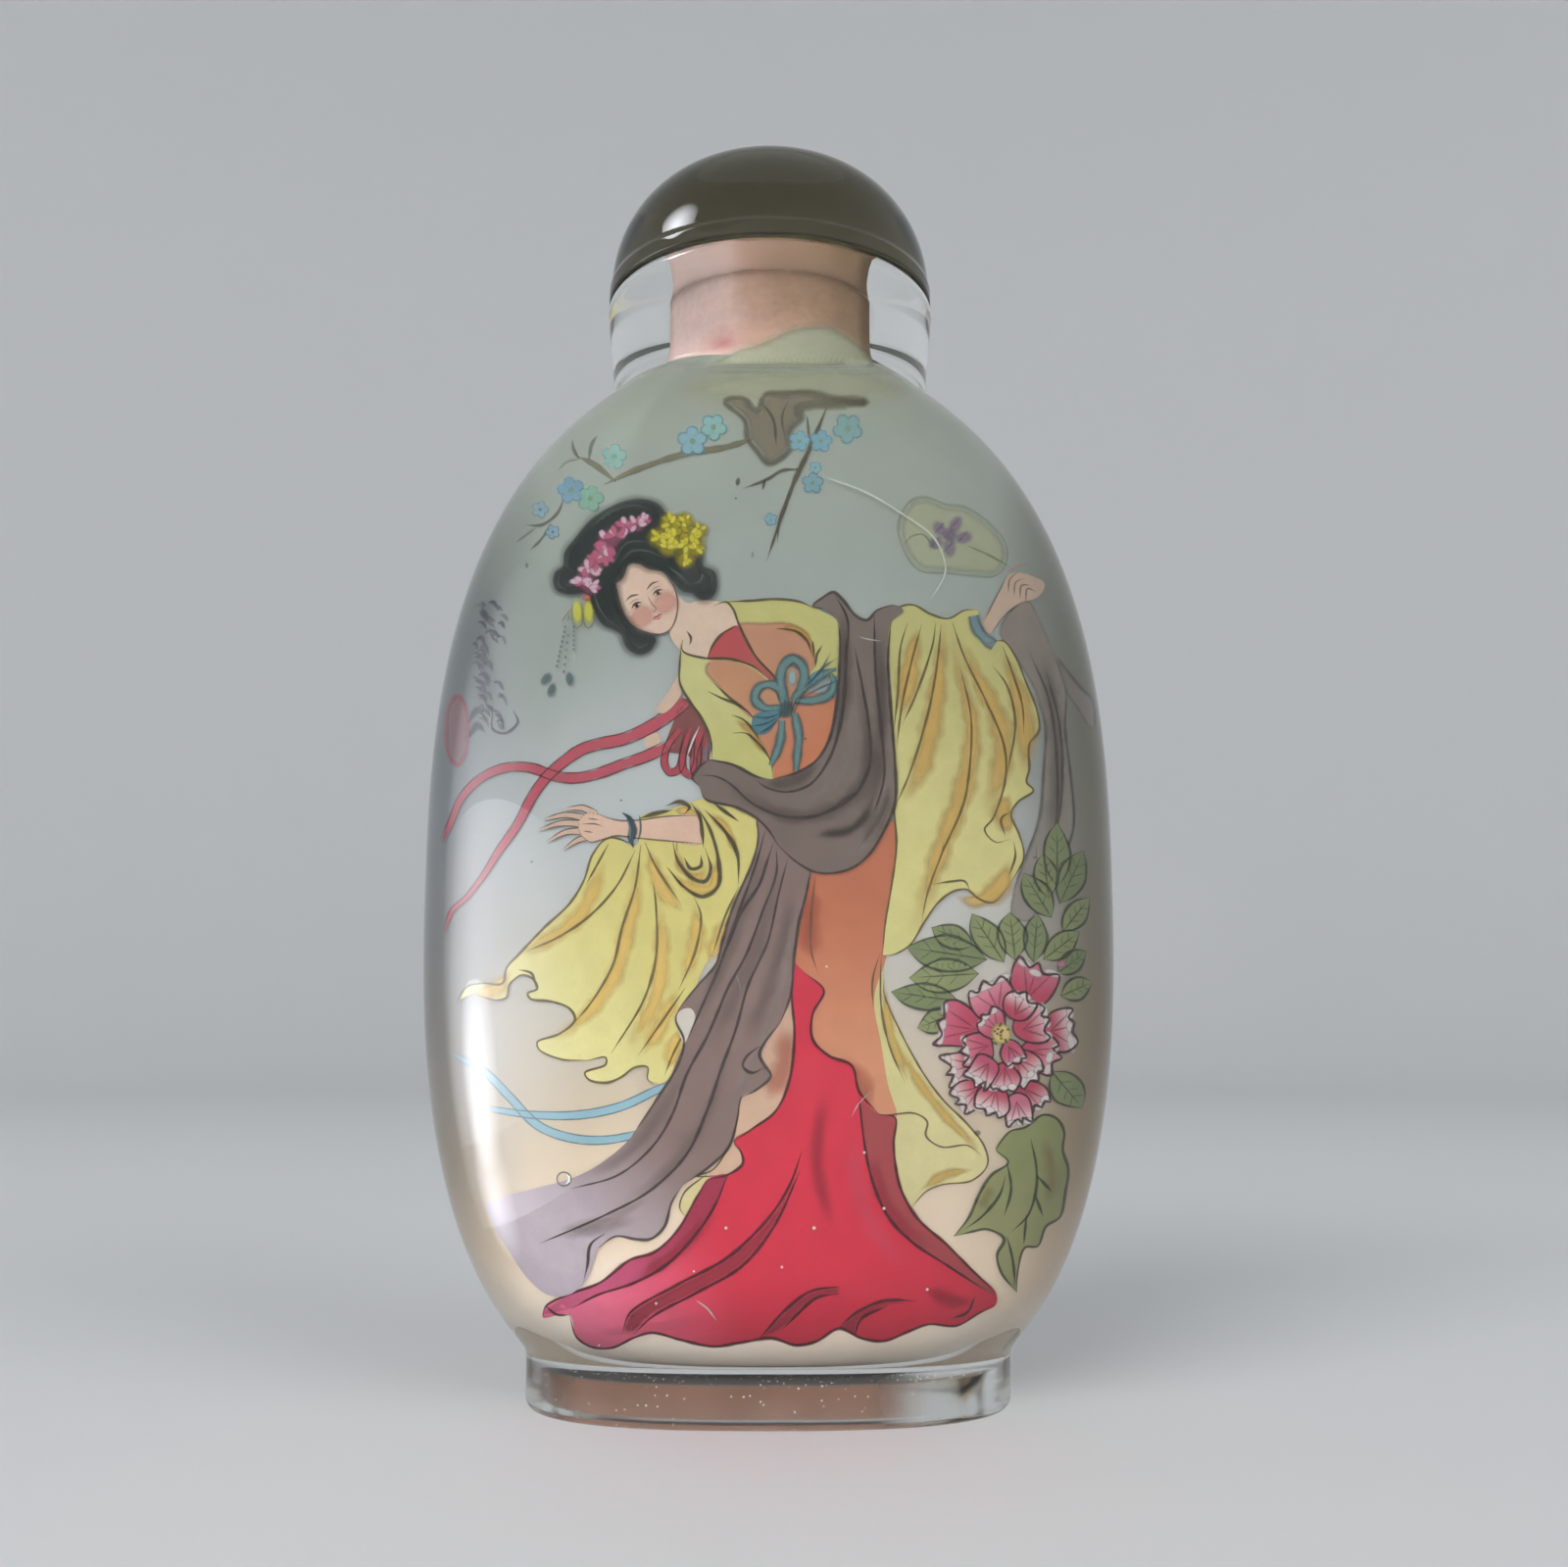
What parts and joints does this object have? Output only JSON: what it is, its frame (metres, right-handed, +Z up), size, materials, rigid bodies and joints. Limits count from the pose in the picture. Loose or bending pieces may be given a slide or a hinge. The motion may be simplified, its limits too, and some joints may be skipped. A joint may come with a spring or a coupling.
{
  "type": "snuff bottle",
  "caption": "Flattened ovoid clear glass snuff bottle, painted inside, on an oval foot, with a round neck and a domed stopper on a cork.",
  "frame": {"origin": "centre of the foot's underside, on the surface that the bottle stands on", "axes": "+Z up through the mouth and the stopper, +X across the broad face, and -Y out of the painted front face"},
  "size_m": [0.0478, 0.0308, 0.0884],
  "materials": {
    "clear_glass": "polished clear glass with a faint grey-green cast",
    "frosted_wall": "inner wall ground matt, milky grey-white, warmer and beige towards the foot",
    "painting": "thin water-based colours and ink on the ground inner wall, seen through the glass",
    "dark_glass": "glossy olive-brown glass, nearly opaque",
    "cork": "pinkish tan cork, worn smooth"
  },
  "bodies": {
    "root": {"bottle": "clear_glass", "stopper_cap": "dark_glass", "stopper_cork": "cork"}
  },
  "joints": []
}
